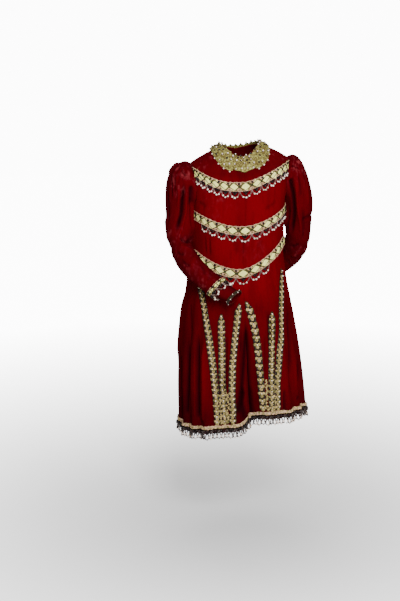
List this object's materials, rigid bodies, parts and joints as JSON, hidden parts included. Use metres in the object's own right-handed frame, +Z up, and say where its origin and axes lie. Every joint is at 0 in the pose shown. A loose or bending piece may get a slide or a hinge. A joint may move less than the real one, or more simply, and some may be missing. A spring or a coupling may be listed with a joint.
{
  "type": "clown costume",
  "caption": "Knee-length clown's stage coat in crimson velvet, with leg-of-mutton sleeves, a pearled gimp ring collar, swags and stripes of gold braid, and bead loops.",
  "frame": {"origin": "between the shoulders, at the height of the sides of the neck, where the wearer's shoulders hold the coat", "axes": "+Z up, the front faces -Y, +X is the wearer's left"},
  "size_m": [0.5578, 0.4606, 1.0897],
  "materials": {
    "crimson_velvet": "cotton pile velvet, deep crimson, crushed and worn lighter at the shoulders and elbows",
    "gold_braid": "woven metal-thread braid, cream and tarnished gold over dark green net",
    "gold_gimp": "corded gold gimp, tarnished",
    "pearl_bead": "imitation pearl, lustrous, slightly pink",
    "dark_bead": "faceted dark jewel, nearly black"
  },
  "bodies": {
    "root": {"front_right": "crimson_velvet", "front_left": "crimson_velvet", "back_right": "crimson_velvet", "back_left": "crimson_velvet", "sleeve_right": "crimson_velvet", "sleeve_left": "crimson_velvet", "undercuff_right": "crimson_velvet", "undercuff_left": "crimson_velvet", "collar": "gold_gimp", "swag_top": "gold_braid", "swag_middle": "gold_braid", "swag_low": "gold_braid", "stripe_1": "gold_braid", "stripe_2": "gold_braid", "stripe_3": "gold_braid", "stripe_4": "gold_braid", "stripe_5": "gold_braid", "stripe_6": "gold_braid", "hem_band": "gold_braid", "cuffband_right": "gold_braid", "cuffband_left": "gold_braid", "wristband_right": "gold_braid", "wristband_left": "gold_braid"}
  },
  "joints": []
}
